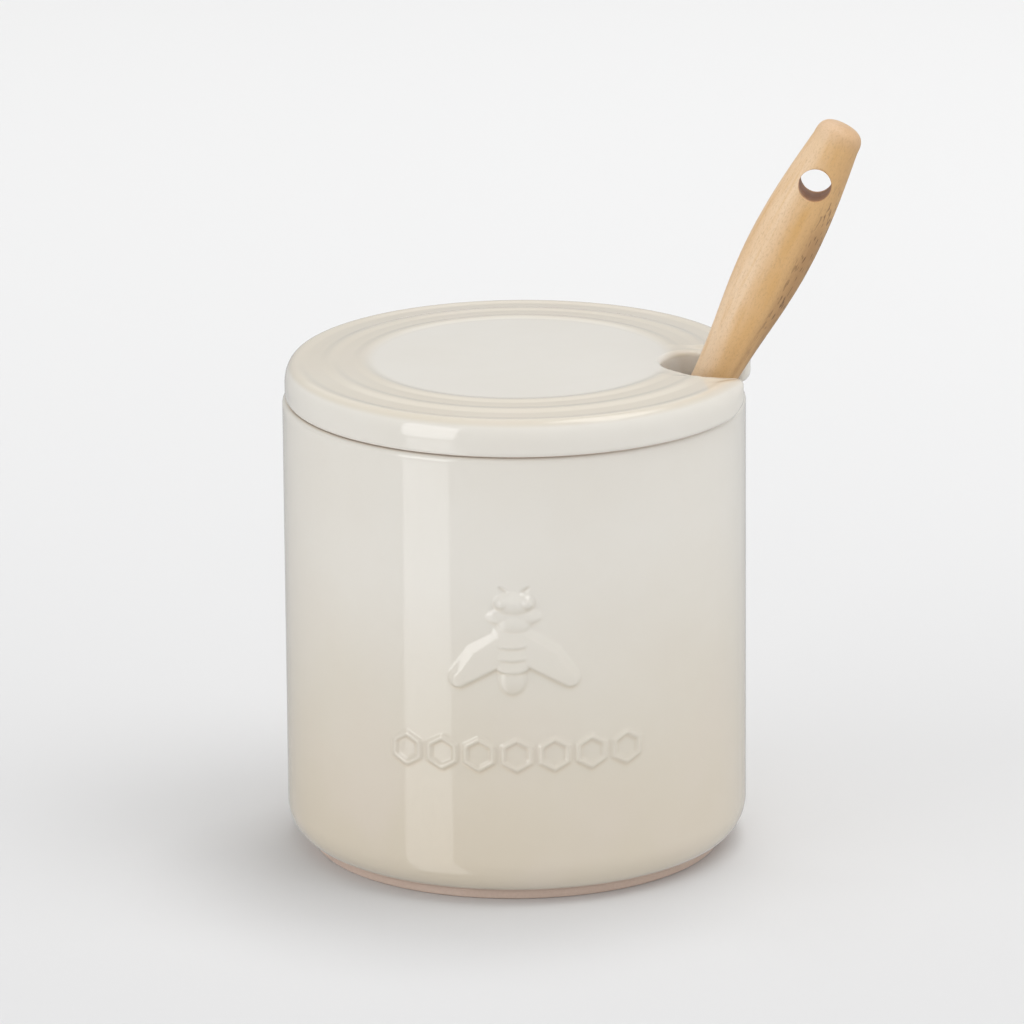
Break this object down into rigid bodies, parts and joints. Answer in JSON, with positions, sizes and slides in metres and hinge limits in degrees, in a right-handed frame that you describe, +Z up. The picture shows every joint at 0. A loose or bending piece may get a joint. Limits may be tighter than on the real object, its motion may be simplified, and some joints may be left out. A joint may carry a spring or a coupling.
{
  "type": "honey pot with dipper",
  "caption": "Round glazed stoneware honey pot with a bee in low relief, a ridged lid notched at its edge, and a turned wooden dipper leaning out through the notch.",
  "frame": {"origin": "middle of the pot's flat base, on the surface it stands on", "axes": "+Z up along the pot's axis; the bee faces -Y; the lid's notch and the leaning dipper are towards +X"},
  "size_m": [0.1245, 0.1024, 0.1611],
  "materials": {
    "glaze": "warm white gloss glaze that thins to beige lower down, with a bare clay foot",
    "wood": "pale fine-grained wood, sanded, without varnish"
  },
  "bodies": {
    "root": {"pot": "glaze", "lid": "glaze", "dipper": "wood"}
  },
  "joints": []
}
